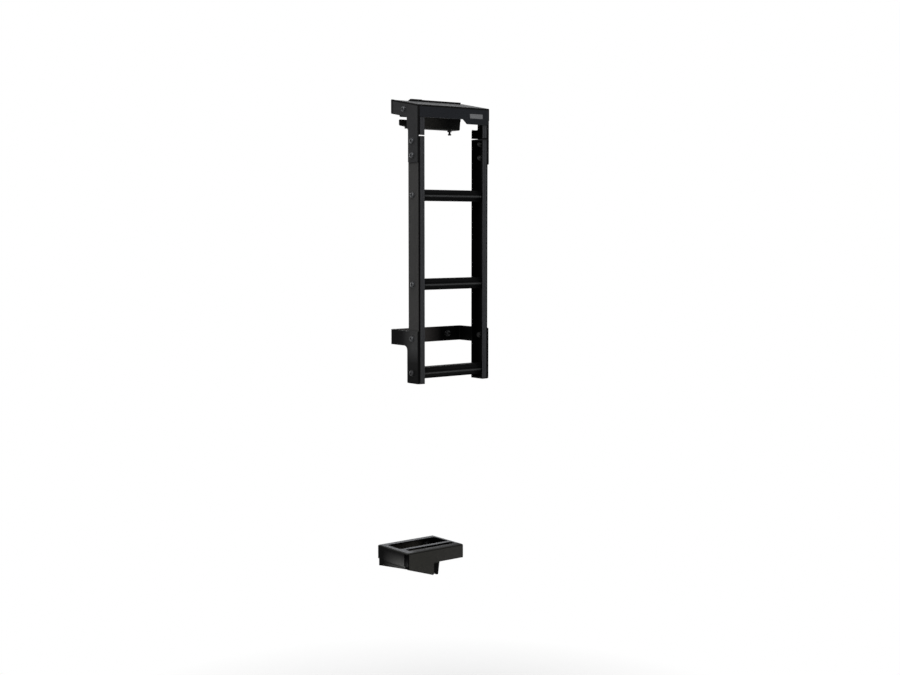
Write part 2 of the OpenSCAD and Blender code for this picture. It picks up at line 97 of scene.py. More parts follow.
class Tree:
    """A material's node tree, with short calls for the nodes that the finishes share."""

    def __init__(self, name):
        self.material = bpy.data.materials.new(name)
        self.material.use_nodes = True
        self.tree = self.material.node_tree
        self.shader = self.tree.nodes["Principled BSDF"]
        self.place = self.add("ShaderNodeTexCoord").outputs["Object"]

    def add(self, kind, **settings):
        """A new node of that kind, with the settings."""
        node = self.tree.nodes.new(kind)
        for key, value in settings.items():
            setattr(node, key, value)
        return node

    def link(self, source, target):
        self.tree.links.new(source, target)

    def stretched(self, scale):
        """Object coordinates, stretched by the three factors in scale."""
        node = self.add("ShaderNodeMapping")
        node.inputs["Scale"].default_value = scale
        self.link(self.place, node.inputs["Vector"])
        return node.outputs["Vector"]

    def noise(self, scale, detail, rough=0.55, place=None):
        """Noise on the object's coordinates, or on place, around 0.5."""
        node = self.add("ShaderNodeTexNoise")
        node.inputs["Scale"].default_value = scale
        node.inputs["Detail"].default_value = detail
        node.inputs["Roughness"].default_value = rough
        self.link(place or self.place, node.inputs["Vector"])
        return node.outputs["Fac"]

    def ranged(self, source, low, high, start=0.3, end=0.7):
        """Maps source from start..end to low..high, and holds it there."""
        node = self.add("ShaderNodeMapRange")
        for key, value in (("From Min", start), ("From Max", end), ("To Min", low), ("To Max", high)):
            node.inputs[key].default_value = value
        self.link(source, node.inputs["Value"])
        return node.outputs["Result"]

    def mixed(self, factor, first, second):
        """Mixes two colours, or colour outputs, by factor."""
        node = self.add("ShaderNodeMix", data_type="RGBA")
        self.link(factor, node.inputs["Factor"])
        for index, value in zip(MIX_COLOURS, (first, second)):
            if isinstance(value, tuple):
                node.inputs[index].default_value = (*value, 1.0)
            else:
                self.link(value, node.inputs[index])
        return node.outputs[MIX_RESULT]

    def math(self, operation, first, second):
        """One calculation on two numbers or outputs."""
        node = self.add("ShaderNodeMath", operation=operation)
        for socket, value in zip(node.inputs, (first, second)):
            if isinstance(value, float):
                socket.default_value = value
            else:
                self.link(value, socket)
        return node.outputs["Value"]

    def edge(self, radius):
        """1 at sharp edges within radius, 0 on flat faces."""
        bevel = self.add("ShaderNodeBevel", samples=EDGE_SAMPLES)
        bevel.inputs["Radius"].default_value = radius
        geometry = self.add("ShaderNodeNewGeometry")
        dot = self.add("ShaderNodeVectorMath", operation="DOT_PRODUCT")
        self.link(bevel.outputs["Normal"], dot.inputs[0])
        self.link(geometry.outputs["Normal"], dot.inputs[1])
        return self.ranged(dot.outputs["Value"], 1.0, 0.0, *EDGE_TURN)

    def axes(self, vector):
        """The X, Y and Z outputs of a vector."""
        node = self.add("ShaderNodeSeparateXYZ")
        self.link(vector, node.inputs["Vector"])
        return node.outputs

    def facing(self):
        """X, Y and Z of the way that the face looks, on the part's own axes."""
        geometry = self.add("ShaderNodeNewGeometry")
        turn = self.add("ShaderNodeVectorTransform", vector_type="NORMAL", convert_from="WORLD",
                        convert_to="OBJECT")
        self.link(geometry.outputs["True Normal"], turn.inputs["Vector"])
        return self.axes(turn.outputs["Vector"])

    def along(self, axis, low, high):
        """0 at low and 1 at high on the part's own X, Y or Z, with a straight rise between."""
        return self.ranged(self.axes(self.place)[axis], 0.0, 1.0, low, high)

    def strip(self, axis, low, high):
        """1 between low and high on the part's own X, Y or Z, 0 elsewhere."""
        away = self.math("SUBTRACT", self.axes(self.place)[axis], (low + high) / 2)
        half = (high - low) / 2
        return self.ranged(self.math("ABSOLUTE", away, 0.0), 1.0, 0.0, half - STRIP_SOFT, half + STRIP_SOFT)

    def both(self, *masks):
        """The product of the masks."""
        total = masks[0]
        for mask in masks[1:]:
            total = self.math("MULTIPLY", total, mask)
        return total

    def rearward(self, start=LOOKING[0], end=LOOKING[1]):
        """1 on faces that look straight to the rear, along -Y, 0 on the others."""
        return self.ranged(self.facing()["Y"], 1.0, 0.0, -end, -start)

    def leftward(self):
        """1 on faces that look to the left, along -X, 0 on the others."""
        start, end = LOOKING
        return self.ranged(self.facing()["X"], 1.0, 0.0, -end, -start)

    def upward(self):
        """1 on faces that look up, 0 on the others."""
        return self.ranged(self.facing()["Z"], 0.0, 1.0, *LOOKING)

    def inside_channel(self):
        """1 on faces that look towards the ladder's middle, 0 on the others."""
        side = self.axes(self.place)["X"]
        outward = self.math("MULTIPLY", self.facing()["X"], self.math("SIGN", side, 0.0))
        start, end = LOOKING_INWARD
        return self.ranged(outward, 1.0, 0.0, -end, -start)

    def patched(self, colour, patches):
        """The colour, with that of each patch where its mask is 1."""
        if patches:
            for mask, other in patches(self):
                colour = self.mixed(mask, colour, other)
        return colour

    def relief(self, height, distance, strength, round_edge):
        """Bump from height, over edges rounded by round_edge."""
        bevel = self.add("ShaderNodeBevel", samples=ROUND_SAMPLES)
        bevel.inputs["Radius"].default_value = round_edge
        bump = self.add("ShaderNodeBump")
        bump.inputs["Distance"].default_value = distance
        bump.inputs["Strength"].default_value = strength
        self.link(height, bump.inputs["Height"])
        self.link(bevel.outputs["Normal"], bump.inputs["Normal"])
        self.link(bump.outputs["Normal"], self.shader.inputs["Normal"])

    def base(self, colour):
        self.link(colour, self.shader.inputs["Base Color"])

    def rough(self, value):
        self.link(value, self.shader.inputs["Roughness"])

    def fixed(self, **values):
        """Sets numbers that are the same all over the surface."""
        for key, value in values.items():
            self.shader.inputs[key.replace("_", " ")].default_value = value


# Scale of the powder coat's orange peel on the ladder and on the step
FINE_PEEL = 900.0
COARSE_PEEL = 520.0
# Scale of an extrusion's die lines along it and across it
LINES_ALONG = 2.0
LINES_ACROSS = 900.0
BRUSH_SCALE = (12.0, 2600.0, 2600.0)
DULL_SPECULAR = 0.06
RUB_GAIN = 1.9


def powder_coat(name, dark, light, peel=FINE_PEEL, gloss=(0.42, 0.52), worn=0.035, specular=0.04,
                patches=None):
    """Black powder coat: orange peel, slow colour drift, softly worn edges."""
    t = Tree(name)
    drift = t.noise(9.0, detail=3.0)
    colour = t.mixed(t.ranged(drift, 0.0, 1.0), dark, light)
    scuff = t.both(t.edge(0.9 * MM), t.ranged(t.noise(60.0, detail=5.0), 0.0, 0.7, start=0.45, end=0.7))
    t.base(t.patched(t.mixed(scuff, colour, (worn, worn, 1.04 * worn)), patches))
    fine = t.noise(peel, detail=3.0, rough=0.6)
    t.rough(t.ranged(t.math("ADD", fine, drift), *gloss, start=0.7, end=1.3))
    t.relief(fine, distance=0.12 * MM, strength=0.5, round_edge=0.6 * MM)
    t.fixed(Specular_IOR_Level=specular)
    return t.material


def anodised(name, axis, dark, light, worn=0.05, specular=0.02, patches=None):
    """Black anodised extrusion: die lines along axis 0, 1 or 2, and a satin sheen."""
    t = Tree(name)
    scale = tuple(LINES_ALONG if i == axis else LINES_ACROSS for i in range(3))
    lines = t.noise(1.0, detail=2.0, rough=0.5, place=t.stretched(scale))
    drift = t.noise(5.0, detail=3.0)
    colour = t.mixed(t.ranged(t.math("ADD", lines, drift), 0.0, 1.0, start=0.75, end=1.25), dark, light)
    rub = t.both(t.edge(0.7 * MM), t.ranged(t.noise(45.0, detail=5.0), 0.0, 0.6, start=0.42, end=0.7))
    t.base(t.patched(t.mixed(rub, colour, (worn, 1.04 * worn, 1.12 * worn)), patches))
    grain = t.noise(300.0, detail=2.0)
    t.rough(t.ranged(t.math("ADD", lines, grain), 0.36, 0.46, start=0.7, end=1.3))
    t.relief(lines, distance=0.05 * MM, strength=0.5, round_edge=0.5 * MM)
    t.fixed(Specular_IOR_Level=specular)
    return t.material


def moulded(name, dark, light):
    """Moulded black plastic with a fine spark-eroded grain."""
    t = Tree(name)
    grain = t.noise(1400.0, detail=3.0, rough=0.6)
    t.base(t.mixed(t.ranged(t.noise(25.0, detail=2.0), 0.0, 1.0), dark, light))
    t.rough(t.ranged(grain, 0.55, 0.7))
    t.relief(grain, distance=0.1 * MM, strength=0.5, round_edge=0.7 * MM)
    t.fixed(Specular_IOR_Level=DULL_SPECULAR)
    return t.material


def rubber(name, dark, light):
    """Matt rubber with a little bloom."""
    t = Tree(name)
    bloom = t.noise(70.0, detail=5.0)
    t.base(t.mixed(t.ranged(bloom, 0.0, 1.0), dark, light))
    t.rough(t.ranged(bloom, 0.7, 0.85))
    t.relief(t.noise(900.0, detail=2.0), distance=0.08 * MM, strength=0.5, round_edge=0.5 * MM)
    t.fixed(Specular_IOR_Level=DULL_SPECULAR)
    return t.material


def brushed(name, dark, light):
    """Grey anodised sheet, brushed along X."""
    t = Tree(name)
    lines = t.noise(1.0, detail=3.0, rough=0.6, place=t.stretched(BRUSH_SCALE))
    t.base(t.mixed(t.ranged(lines, 0.0, 1.0), dark, light))
    t.rough(t.ranged(lines, 0.38, 0.52))
    t.relief(lines, distance=0.04 * MM, strength=0.4, round_edge=0.4 * MM)
    t.fixed(Metallic=0.55)
    return t.material


def passivated(name, dark, light):
    """Dark passivated steel of the bolts, rubbed where a key or spanner turns it."""
    t = Tree(name)
    mottle = t.noise(260.0, detail=4.0)
    colour = t.mixed(t.ranged(mottle, 0.0, 1.0), dark, light)
    rub = t.both(t.edge(0.4 * MM), t.ranged(t.noise(700.0, detail=3.0), 0.1, 0.8, start=0.4, end=0.65))
    t.base(t.mixed(rub, colour, tuple(RUB_GAIN * c for c in light)))
    t.rough(t.ranged(mottle, 0.28, 0.42))
    t.relief(t.noise(1500.0, detail=2.0), distance=0.03 * MM, strength=0.4, round_edge=0.25 * MM)
    t.fixed(Metallic=0.85)
    return t.material


# Patches: each function gives masks with the colours that show there, mostly painted shade and painted light

# Painted shade: near-black for faces inside channels, hollows and the corner relief, and dark grey for
# shaded edges, folds and gaps
PAINTED_INNER_SHADE = (0.0012, 0.0012, 0.0013)
SHADE = (0.0020, 0.0020, 0.0021)

# Painted shade: a darker, cooler colour for the stiles' rear faces
STILE_REAR_SHADE = (0.0385, 0.0395, 0.0428)


def stile_patches(t):
    """Painted shade: a darker, cooler rear face, black inside the channel and a dark line on the outer rear
    corner.
    """
    low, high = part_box("right_stile")
    from_middle = t.math("ABSOLUTE", t.axes(t.place)["X"], 0.0)
    outer = t.ranged(from_middle, 0.0, 1.0, high.x - 4 * MM, high.x - 3.4 * MM)
    rear_edge = t.along("Y", low.y + 2.6 * MM, low.y + 2 * MM)
    inside = t.along("Y", low.y + 3 * MM, low.y + 4 * MM)
    return [(t.rearward(), STILE_REAR_SHADE),
            (t.both(outer, rear_edge), SHADE),
            (t.both(t.rearward(), inside), PAINTED_INNER_SHADE),
            (t.inside_channel(), PAINTED_INNER_SHADE)]


ARM_SLOPE = math.radians(10.1)
# Painted shade at the tips of the side plates' arms
ARM_TIP_SHADE = (0.010, 0.010, 0.0103)


def plate_patches(t):
    """Painted shade: dark rear and upper edges, a darker arm tip and dark inner faces of the side plates."""
    low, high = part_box("upper_right_plate")
    rise = math.tan(ARM_SLOPE)
    axes = t.axes(t.place)
    above_slope = t.math("SUBTRACT", axes["Z"], t.math("MULTIPLY", axes["Y"], rise))
    crest = high.z - high.y * rise
    tip = t.along("Y", high.y - 11 * MM, high.y - 7 * MM)
    upper_edge = t.ranged(above_slope, 0.0, 1.0, crest - 4.2 * MM, crest - 3.4 * MM)
    rear_edge = t.along("Y", low.y + 3 * MM, low.y + 2.4 * MM)
    return [(tip, ARM_TIP_SHADE), (upper_edge, SHADE), (rear_edge, SHADE), (t.inside_channel(), PAINTED_INNER_SHADE)]


def fascia_patches(t):
    """Painted shade on the upper fold and on the left end."""
    low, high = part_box("top_fascia")
    fold = t.along("Z", high.z - 5 * MM, high.z - 3.5 * MM)
    left_end = t.along("X", low.x + 3 * MM, low.x + 2 * MM)
    return [(fold, SHADE), (left_end, SHADE)]


LEG_TOP = -24 * MM
LEG_MIDDLE = -62 * MM
# Painted shade on the band's sides and legs, and painted light on its rear face
BAND_SIDE_SHADE = (0.010, 0.010, 0.0103)
BAND_SIDE_BACK_SHADE = (0.004, 0.004, 0.0042)
LEG_SIDE_SHADE = (0.0112, 0.0112, 0.0114)
LEG_FOOT_SHADE = (0.0054, 0.0054, 0.0056)
BAND_REAR_LIGHT = (0.048, 0.044, 0.043)


def band_patches(t):
    """Painted shade on sides that darken towards the back and the foot, on a rear edge and inside the
    channel; painted light on the rear face, which fades to painted shade to the right.
    """
    low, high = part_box("lower_bracket")
    side = t.along("Y", low.y + 25 * MM, high.y - 50 * MM)
    side_back = t.along("Y", high.y - 65 * MM, high.y - 30 * MM)
    right = t.along("X", -6 * MM, 48 * MM)
    rear_edge = t.along("Y", low.y + 3.4 * MM, low.y + 2.8 * MM)
    return [(side, BAND_SIDE_SHADE),
            (side_back, BAND_SIDE_BACK_SHADE),
            (t.along("Z", LEG_TOP, LEG_MIDDLE), LEG_SIDE_SHADE),
            (t.along("Z", LEG_MIDDLE, low.z), LEG_FOOT_SHADE),
            (t.rearward(), BAND_REAR_LIGHT),
            (t.both(t.rearward(), right), PAINTED_INNER_SHADE),
            (rear_edge, SHADE),
            (t.inside_channel(), PAINTED_INNER_SHADE)]


# Painted light on the jaw's rear face, left of the clamp bolt, and about the coat's own dark to the right
JAW_LEFT_LIGHT = (0.070, 0.068, 0.062)
JAW_RIGHT = (0.012, 0.012, 0.012)


def clamp_patches(t):
    """Painted light on the jaw's rear face, which fades back to about the coat's own dark to the right of
    the clamp bolt.
    """
    low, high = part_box("gutter_clamp")
    face = t.both(t.rearward(), t.along("Z", high.z, high.z - 1 * MM))
    lighter = t.along("X", low.x + 20 * MM, low.x + 36 * MM)
    faded = t.along("X", low.x + 50 * MM, high.x - 40 * MM)
    return [(t.both(face, lighter), JAW_LEFT_LIGHT), (t.both(face, faded), JAW_RIGHT)]


STEP_RIM = 35 * MM
# Painted light: paler rear faces towards the right, a pale top, a lighter left side and a bright seam;
# painted shade: the lip, the crest, a groove and the left side's upper part
STEP_REAR_RIGHT_LIGHT = (0.039, 0.0383, 0.0360)
STEP_TOP_LIGHT = (0.105, 0.108, 0.114)
STEP_LIP_SHADE = (0.0120, 0.0123, 0.0132)
STEP_CREST_SHADE = (0.0060, 0.0059, 0.0056)
STEP_LEFT_LIGHT = (0.100, 0.099, 0.097)
STEP_SEAM_HIGHLIGHT = (0.150, 0.149, 0.146)
STEP_GROOVE_SHADE = (0.040, 0.040, 0.039)
STEP_LEFT_TOP_SHADE = (0.010, 0.010, 0.010)
STEP_BACK_WALL = (0.034, 0.031, 0.026)


def step_outer_patches(t, low, high):
    """Painted light on the pale top, on rear faces towards the right, on the left side and as a bright seam;
    painted shade on the lip, the crest, the inner floor, a groove below the seam and the left side's upper
    and back parts.
    """
    right_end = t.along("X", low.x + 40 * MM, high.x)
    top = t.both(t.upward(), t.along("Z", high.z - 6 * MM, high.z - 5 * MM))
    lip = t.both(t.along("Y", low.y + 19 * MM, low.y + 18 * MM),
                 t.along("X", low.x + 14 * MM, low.x + 30 * MM))
    crest = t.along("Z", high.z - 4.4 * MM, high.z - 3.6 * MM)
    floor = t.along("Z", high.z - 20 * MM, high.z - 22 * MM)
    left = t.both(t.along("X", low.x + 6 * MM, low.x + 5 * MM), t.leftward())
    seam_z = high.z - STEP_RIM
    seam = t.strip("Z", seam_z - 3.2 * MM, seam_z + 0.6 * MM)
    groove = t.strip("Z", seam_z - 6 * MM, seam_z - 4 * MM)
    upper = t.along("Z", high.z - 32 * MM, high.z - 8 * MM)
    back = t.along("Y", low.y + 30 * MM, high.y - 20 * MM)
    return [(t.both(t.rearward(), right_end), STEP_REAR_RIGHT_LIGHT),
            (top, STEP_TOP_LIGHT),
            (t.both(top, lip), STEP_LIP_SHADE),
            (t.both(t.rearward(), crest), STEP_CREST_SHADE),
            (t.both(t.upward(), floor), PAINTED_INNER_SHADE),
            (left, STEP_LEFT_LIGHT),
            (t.both(left, seam), STEP_SEAM_HIGHLIGHT),
            (t.both(left, groove), STEP_GROOVE_SHADE),
            (t.both(left, upper), STEP_LEFT_TOP_SHADE),
            (t.both(left, back), SHADE)]


def step_inner_patches(t, low, high):
    """Painted shade inside and in the corner relief, and on the back wall's right half, while its left half
    keeps about the coat's own colour.
    """
    rear_inside = t.both(t.rearward(), t.along("Y", low.y + 6 * MM, low.y + 7 * MM))
    back_wall = t.both(t.rearward(), t.along("Y", high.y - 12 * MM, high.y - 10 * MM))
    right_half = t.along("X", -60 * MM, -25 * MM)
    left_inside = t.both(t.leftward(), t.along("X", low.x + 6 * MM, low.x + 7 * MM))
    corner = t.both(t.along("X", low.x + 5.2 * MM, low.x + 4.6 * MM),
                    t.along("Y", low.y + 14.6 * MM, low.y + 14.2 * MM),
                    t.along("Z", high.z - 4 * MM, high.z - 5 * MM))
    return [(rear_inside, PAINTED_INNER_SHADE),
            (back_wall, STEP_BACK_WALL),
            (t.both(rear_inside, right_half), PAINTED_INNER_SHADE),
            (left_inside, PAINTED_INNER_SHADE),
            (corner, PAINTED_INNER_SHADE)]


def step_patches(t):
    """All patches of the step's tray and bracket."""
    low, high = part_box("step_tray")
    return step_outer_patches(t, low, high) + step_inner_patches(t, low, high)


# Painted highlight on the front of each rung's ridge
RIDGE_HIGHLIGHT = (0.045, 0.046, 0.047)
RIDGE_BELOW_MIDDLE = 2 * MM
RIDGE_HALF = 2.4 * MM
RIDGE_LOOKING = (0.5, 0.9)


def ridge_highlight_patches(node):
    """Patches function for a painted highlight on the ridge of one rung."""
    ridge = middle(node).z - RIDGE_BELOW_MIDDLE

    def patches(t):
        strip = t.strip("Z", ridge - RIDGE_HALF, ridge + RIDGE_HALF)
        return [(t.both(t.rearward(*RIDGE_LOOKING), strip), RIDGE_HIGHLIGHT)]
    return patches


# Finishes of the nodes

RUNGS = ("rung_1", "rung_2", "rung_3")
X_AXIS = 0
Z_AXIS = 2


def rung_finish(node):
    """Black extrusion with a painted highlight on that rung's ridge."""
    return anodised(f"{node}_anodised", X_AXIS, dark=(0.0025, 0.0026, 0.0028),
                    light=(0.0045, 0.0046, 0.0049), worn=0.006, patches=ridge_highlight_patches(node))


def finish_nodes():
    """Gives every node of the frame its finish."""
    plate = powder_coat("plate_coat", dark=(0.028, 0.0282, 0.0292), light=(0.034, 0.0342, 0.0352),
                        patches=plate_patches)
    fascia = powder_coat("fascia_coat", dark=(0.0115, 0.0126, 0.0152), light=(0.0140, 0.0152, 0.0182),
                         patches=fascia_patches)
    band = powder_coat("band_coat", dark=(0.042, 0.042, 0.0425), light=(0.050, 0.050, 0.0505),
                       specular=0.02, patches=band_patches)
    clamp = powder_coat("clamp_coat", dark=(0.0072, 0.0072, 0.0070), light=(0.0104, 0.0104, 0.0101),
                        gloss=(0.5, 0.62), worn=0.02, specular=0.02, patches=clamp_patches)
    step = powder_coat("step_coat", dark=(0.0290, 0.0286, 0.0255), light=(0.0350, 0.0345, 0.0312),
                       peel=COARSE_PEEL, gloss=(0.46, 0.6), worn=0.05, specular=0.02, patches=step_patches)
    stile = anodised("stile_anodised", Z_AXIS, dark=(0.0475, 0.0468, 0.0462),
                     light=(0.0560, 0.0552, 0.0545), patches=stile_patches)
    tread = anodised("tread_anodised", X_AXIS, dark=(0.029, 0.0300, 0.032), light=(0.035, 0.0362, 0.0383),
                     specular=0.05)
    plastic = moulded("cap_plastic", dark=(0.010, 0.010, 0.0105), light=(0.0135, 0.0135, 0.014175))
    pad = rubber("gutter_rubber", dark=(0.010, 0.010, 0.011), light=(0.022, 0.022, 0.023))
    blank = brushed("blank_plate_metal", dark=(0.077, 0.078, 0.083), light=(0.104, 0.105, 0.111))
    bolt = passivated("clamp_steel", dark=(0.05, 0.05, 0.052), light=(0.08, 0.08, 0.082))
    finishes = {
        "left_stile": stile, "right_stile": stile, "left_top_block": stile, "right_top_block": stile,
        **{rung: rung_finish(rung) for rung in RUNGS},
        "top_tread": tread,
        "left_foot_cap": plastic, "right_foot_cap": plastic,
        "left_top_cap": plastic, "right_top_cap": plastic,
        "lower_bracket": band, "upper_left_plate": plate, "upper_right_plate": plate,
        "top_fascia": fascia, "gutter_hook": clamp, "gutter_clamp": clamp,
        "blank_plate": blank, "upper_gutter_pad": pad, "lower_gutter_pad": pad,
        "left_clamp_bolt": bolt, "right_clamp_bolt": bolt,
        "step_tray": step, "step_bracket": step,
    }
    for name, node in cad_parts.items():
        node.data.materials.clear()
        node.data.materials.append(finishes[name])


# Turned pieces are stacks of rings, each with SEGMENTS points

SEGMENTS = 48
SHARP_ANGLE = math.radians(32)


def hexagon(across_flats, limit=None):
    """Radius of a hexagon by angle, cut by a circle of radius limit."""
    def radius(angle):
        turned = (angle + math.pi / 6) % (math.pi / 3) - math.pi / 6
        r = across_flats / 2 / math.cos(turned)
        return r if limit is None else min(r, limit)
    return radius


def ring(z, radius):
    """One ring of points at height z; radius is a number or a function of the angle."""
    points = []
    for i in range(SEGMENTS):
        angle = 2 * math.pi * i / SEGMENTS
        r = radius(angle) if callable(radius) else radius
        points.append(Vector((r * math.cos(angle), r * math.sin(angle), z)))
    return points


def add_stack(mesh, rings):
    """Adds one closed solid through the rings to mesh, with flat ends."""
    rows = [[mesh.verts.new(p) for p in points] for points in rings]
    for low, high in zip(rows, rows[1:]):
        for i in range(SEGMENTS):
            j = (i + 1) % SEGMENTS
            mesh.faces.new((low[i], low[j], high[j], high[i]))
    for row, upper in ((rows[0], False), (rows[-1], True)):
        centre = mesh.verts.new(sum((v.co for v in row), Vector()) / SEGMENTS)
        for i in range(SEGMENTS):
            j = (i + 1) % SEGMENTS
            mesh.faces.new((row[i], row[j], centre) if upper else (row[j], row[i], centre))


def arc(r_start, z_start, r_end, z_end, steps):
    """Rings along a quarter ellipse from one radius and height to another."""
    rings = []
    for k in range(steps + 1):
        turn = math.pi / 2 * k / steps
        r = r_end + (r_start - r_end) * math.cos(turn)
        z = z_start + (z_end - z_start) * math.sin(turn)
        rings.append(ring(z, r))
    return rings


def finished_piece(name, mesh, material, place, axis):
    """Turns mesh's +Z to axis, moves it to place and lets it ride on the ladder."""
    bmesh.ops.recalc_face_normals(mesh, faces=mesh.faces)
    turn = Vector((0, 0, 1)).rotation_difference(Vector(axis)).to_matrix().to_4x4()
    mesh.transform(Matrix.Translation(place) @ turn)
    data = bpy.data.meshes.new(name)
    mesh.to_mesh(data)
    mesh.free()
    data.materials.append(material)
    piece = bpy.data.objects.new(name, data)
    bpy.context.scene.collection.objects.link(piece)
    for polygon in data.polygons:
        polygon.use_smooth = True
    data.set_sharp_from_angle(angle=SHARP_ANGLE)
    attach(piece, "root")
    return piece


# Shapes that the fasteners share

WASHER_R = 8.0 * MM
WASHER_H = 1.3 * MM
WASHER_CHAMFER = 0.25 * MM
SHANK_R = 4.0 * MM
NUT_FLATS = 13.0 * MM
BOLT_PITCH = 1.25 * MM
# Depth of a thread as a share of its pitch, and the number of rings in one pitch
THREAD_DEPTH = 0.55
THREAD_STEPS = 6
# Depth and length of the chamfer at a thread's end, as shares of the thread's depth
CHAMFER_DEEP = 1.3
CHAMFER_LONG = 0.6
# Radius of a hexagon's turned ends, as a share of half its flats
HEXAGON_LAND = 0.96
# Height of its turned corners, as a share of their depth
CORNER_RISE = 0.55
CORNER_STEPS = 4


def washer_rings(outer=WASHER_R, height=WASHER_H):
    """A flat washer with chamfered rims."""
    inner = outer - WASHER_CHAMFER
    return [ring(0, inner), ring(WASHER_CHAMFER, outer), ring(height - WASHER_CHAMFER, outer),
            ring(height, inner)]


def thread_radius(z, radius, pitch):
    """Radius by angle of a helical thread at height z."""
    def at(angle):
        turns = z / pitch - angle / (2 * math.pi)
        return radius - THREAD_DEPTH * pitch * abs(2 * (turns % 1.0) - 1)
    return at


def thread_rings(low, high, radius, pitch):
    """A rod with a helical thread between two heights, chamfered at the low end."""
    depth = THREAD_DEPTH * pitch
    start = low + CHAMFER_LONG * depth
    count = round((high - low) / pitch * THREAD_STEPS)
    rings = [ring(low, radius - CHAMFER_DEEP * depth)]
    for k in range(count + 1):
        z = start + (high - start) * k / count
        rings.append(ring(z, thread_radius(z, radius, pitch)))
    return rings


def hexagon_rings(low, height, across_flats):
    """A hexagon nut or head whose corners are turned off at both ends."""
    corner = across_flats / 2 / math.cos(math.pi / 6)
    land = across_flats / 2 * HEXAGON_LAND
    lower_half = [(0.0, land)]
    for k in range(1, CORNER_STEPS + 1):
        reach = (corner - land) * k / CORNER_STEPS
        lower_half.append((CORNER_RISE * reach, hexagon(across_flats, land + reach)))
    rings = [ring(low + rise, radius) for rise, radius in lower_half]
    return rings + [ring(low + height - rise, radius) for rise, radius in reversed(lower_half)]


# Button-head bolts and lock nuts

HEAD_R = 7.0 * MM
HEAD_H = 4.2 * MM
HEAD_CHAMFER = 0.2 * MM
HEAD_RIM = 0.7 * MM
HEAD_LAND = HEAD_R * 0.52
HEAD_STEPS = 8
SOCKET = 5.0 * MM
SOCKET_DEPTH = 2.6 * MM
SOCKET_CHAMFER = 0.25 * MM
DRILL_R = SOCKET * 0.22
DRILL_DEPTH = 0.5 * MM
NUT_H = 5.6 * MM
COLLAR_R = NUT_FLATS * 0.46
COLLAR_H = 2.0 * MM
COLLAR_ROUND_R = 1.2 * MM
COLLAR_ROUND_H = 0.8 * MM
COLLAR_STEPS = 5
COLLAR_SINK = 0.5 * MM
COLLAR_MOUTH = 0.4 * MM
THREAD_GAP = 0.1 * MM
THREAD_OUT = 2.4 * MM


def button_head_rings():
    """A dome with a flat land and a hexagon socket, on a washer."""
    low = WASHER_H
    top = low + HEAD_H
    bottom = top - SOCKET_DEPTH
    rings = [ring(low, HEAD_R - HEAD_CHAMFER), ring(low + HEAD_CHAMFER, HEAD_R)]
    rings += arc(HEAD_R, low + HEAD_RIM, HEAD_LAND, top, HEAD_STEPS)
    rings += [ring(top, hexagon(SOCKET + 2 * SOCKET_CHAMFER)), ring(top - SOCKET_CHAMFER, hexagon(SOCKET)),
              ring(bottom, hexagon(SOCKET)), ring(bottom - DRILL_DEPTH, DRILL_R)]
    return rings


def collar_rings(low, top):
    """The lock nut's round collar, with the mouth of its bore."""
    rings = [ring(low - COLLAR_SINK, COLLAR_R)]
    rings += arc(COLLAR_R, top - COLLAR_ROUND_H, COLLAR_R - COLLAR_ROUND_R, top, COLLAR_STEPS)
    rings += [ring(top, SHANK_R + COLLAR_MOUTH), ring(top - COLLAR_MOUTH, SHANK_R + THREAD_GAP)]
    return rings


def add_button_bolt(name, place, axis, material):
    """Button-head bolt and washer, flat on the face at place."""
    mesh = bmesh.new()
    add_stack(mesh, washer_rings())
    add_stack(mesh, button_head_rings())
    finished_piece(name, mesh, material, place, axis)


def add_lock_nut(name, place, axis, material):
    """Lock nut on a washer, with its collar and the end of the bolt."""
    nut_top = WASHER_H + NUT_H
    collar_top = nut_top + COLLAR_H
    mesh = bmesh.new()
    add_stack(mesh, washer_rings())
    add_stack(mesh, hexagon_rings(WASHER_H, NUT_H, NUT_FLATS))
    add_stack(mesh, collar_rings(nut_top, collar_top))
    tip = thread_rings(-(collar_top + THREAD_OUT), -nut_top, SHANK_R - THREAD_GAP, BOLT_PITCH)
    add_stack(mesh, [[Vector((p.x, p.y, -p.z)) for p in points] for points in tip])
    finished_piece(name, mesh, material, place, axis)


# Bolt places, measured from the edges of the nodes that they hold

PLATE_BOLT_IN = 24 * MM
PLATE_BOLT_UP = (17.5 * MM, 52.5 * MM)
ARM_BOLT_IN = 54 * MM
ARM_MIDDLE = 18 * MM
STILE_WEB = 2.5 * MM
LEG_BOLT_Z = 0.0


def side_bolt_places():
    """Names and places of one side's bolts, and of its lock nuts, with X away from the middle.

    The lowest rung's bolts lie on the legs of the lower bracket, the other rungs' on the stiles.
    """
    low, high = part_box("upper_right_plate")
    leg_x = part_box("lower_bracket")[1].x
    stile_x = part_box("right_stile")[1].x
    web_x = stile_x - STILE_WEB
    arm_inside_x = 2 * low.x - high.x
    plate_y = low.y + PLATE_BOLT_IN
    rung_y = middle("rung_1").y
    arm = (high.y - ARM_BOLT_IN, high.z - ARM_MIDDLE - ARM_BOLT_IN * math.tan(ARM_SLOPE))
    bolts = [("arm_bolt", high.x, *arm), ("leg_bolt", leg_x, rung_y, LEG_BOLT_Z)]
    nuts = [("arm_nut", arm_inside_x, *arm), ("leg_nut", web_x, rung_y, LEG_BOLT_Z)]
    for i, up in enumerate(PLATE_BOLT_UP, 1):
        bolts.append((f"upper_plate_bolt_{i}", high.x, plate_y, low.z + up))
        nuts.append((f"upper_plate_nut_{i}", web_x, plate_y, low.z + up))
    for i, rung in enumerate(RUNGS, 1):
        bolts.append((f"rung_bolt_{i}", leg_x if i == 1 else stile_x, rung_y, middle(rung).z))
    return bolts, nuts


